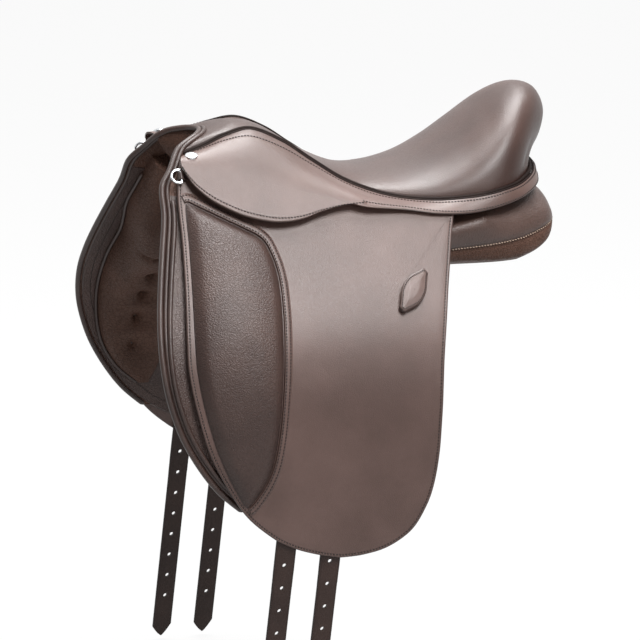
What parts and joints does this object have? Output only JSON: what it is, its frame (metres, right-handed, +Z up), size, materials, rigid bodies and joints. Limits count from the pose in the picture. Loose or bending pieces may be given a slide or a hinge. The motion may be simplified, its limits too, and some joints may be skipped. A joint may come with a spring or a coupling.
{
  "type": "dressage saddle",
  "caption": "Leather dressage saddle with a deep padded seat, long straight flaps with knee pads, tufted panels over a spine channel, and long girth straps.",
  "frame": {"origin": "on the middle plane in the channel between the panels, under the deepest point of the seat, where the saddle sits on the horse", "axes": "+X forward to the head, +Y to the rider's left, +Z up"},
  "size_m": [0.5408, 0.5142, 0.7608],
  "materials": {
    "seat_leather": "smooth, lightly polished brown calf",
    "flap_leather": "smooth brown bridle leather, satin",
    "grain_leather": "fine pebble grain, satin",
    "piping_leather": "dark rolled piping",
    "strap_leather": "dense dark strap leather, waxed edges",
    "nickel": "polished nickel",
    "steel": "forged steel",
    "tree_wood": "laminated beech",
    "seat_foam": "moulded foam",
    "webbing": "woven webbing"
  },
  "bodies": {
    "saddle": {"saddle_tree": "tree_wood", "head_plate": "steel", "seat_webs": "webbing", "girth_web_front": "webbing", "girth_web_rear": "webbing", "seat_foam": "seat_foam", "seat_cover": "seat_leather", "seat_welt_left": "piping_leather", "seat_welt_right": "piping_leather", "skirt_band_left": "flap_leather", "skirt_band_right": "flap_leather", "pommel_studs": "nickel", "head_facing": "grain_leather", "head_piping": "piping_leather", "channel_lining": "grain_leather", "panel_left": "grain_leather", "panel_right": "grain_leather", "panel_front_left": "grain_leather", "panel_front_right": "grain_leather", "sweat_flap_left": "flap_leather", "sweat_flap_right": "flap_leather", "flap_root_left": "flap_leather", "flap_root_right": "flap_leather", "stirrup_bar_left": "steel", "stirrup_bar_right": "steel", "bar_rivets": "steel", "strap_root_front_left": "strap_leather", "strap_root_rear_left": "strap_leather", "strap_root_front_right": "strap_leather", "strap_root_rear_right": "strap_leather"},
    "left_flap": {"flap_left": "flap_leather", "knee_pad_left": "grain_leather", "flap_keeper_left": "strap_leather", "dee_chape_left": "strap_leather"},
    "right_flap": {"flap_right": "flap_leather", "knee_pad_right": "grain_leather", "flap_keeper_right": "strap_leather", "dee_chape_right": "strap_leather"},
    "left_skirt": {"skirt_left": "flap_leather"},
    "right_skirt": {"skirt_right": "flap_leather"},
    "left_dee": {"dee_ring_left": "nickel"},
    "right_dee": {"dee_ring_right": "nickel"},
    "left_catch": {"bar_catch_left": "steel"},
    "right_catch": {"bar_catch_right": "steel"},
    "left_front_strap": {"girth_strap_front_left": "strap_leather"},
    "left_rear_strap": {"girth_strap_rear_left": "strap_leather"},
    "right_front_strap": {"girth_strap_front_right": "strap_leather"},
    "right_rear_strap": {"girth_strap_rear_right": "strap_leather"}
  },
  "joints": [
    {"name": "left_flap_lift", "type": "hinge", "parent": "saddle", "child": "left_flap", "pos_m": [0.25, 0.08591, 0.09645], "axis": [0.9474, -0.2031, 0.2475], "range_deg": [0, 75]},
    {"name": "left_skirt_lift", "type": "hinge", "parent": "left_flap", "child": "left_skirt", "pos_m": [0.25, 0.08591, 0.09645], "axis": [0.9474, -0.2031, 0.2475], "range_deg": [0, 55]},
    {"name": "left_dee_swing", "type": "hinge", "parent": "left_flap", "child": "left_dee", "pos_m": [0.25, 0.08713, 0.08049], "axis": [0, -0.6398, 0.7685], "range_deg": [0, 75]},
    {"name": "left_catch_turn", "type": "hinge", "parent": "saddle", "child": "left_catch", "pos_m": [0.14742, 0.0805, 0.0823], "axis": [0, 0.7684, 0.6399], "range_deg": [0, 90]},
    {"name": "left_front_strap_swing", "type": "hinge", "parent": "saddle", "child": "left_front_strap", "pos_m": [0.171, 0.24075, -0.374], "axis": [1, 0, 0], "range_deg": [0, 70]},
    {"name": "left_rear_strap_swing", "type": "hinge", "parent": "saddle", "child": "left_rear_strap", "pos_m": [0.115, 0.24075, -0.374], "axis": [1, 0, 0], "range_deg": [0, 70]},
    {"name": "right_flap_lift", "type": "hinge", "parent": "saddle", "child": "right_flap", "pos_m": [0.25, -0.08591, 0.09645], "axis": [-0.9474, -0.2031, -0.2475], "range_deg": [0, 75]},
    {"name": "right_skirt_lift", "type": "hinge", "parent": "right_flap", "child": "right_skirt", "pos_m": [0.25, -0.08591, 0.09645], "axis": [-0.9474, -0.2031, -0.2475], "range_deg": [0, 55]},
    {"name": "right_dee_swing", "type": "hinge", "parent": "right_flap", "child": "right_dee", "pos_m": [0.25, -0.08713, 0.08049], "axis": [0, -0.6398, -0.7685], "range_deg": [0, 75]},
    {"name": "right_catch_turn", "type": "hinge", "parent": "saddle", "child": "right_catch", "pos_m": [0.14742, -0.0805, 0.0823], "axis": [0, 0.7684, -0.6399], "range_deg": [0, 90]},
    {"name": "right_front_strap_swing", "type": "hinge", "parent": "saddle", "child": "right_front_strap", "pos_m": [0.171, -0.24075, -0.374], "axis": [-1, 0, 0], "range_deg": [0, 70]},
    {"name": "right_rear_strap_swing", "type": "hinge", "parent": "saddle", "child": "right_rear_strap", "pos_m": [0.115, -0.24075, -0.374], "axis": [-1, 0, 0], "range_deg": [0, 70]}
  ]
}
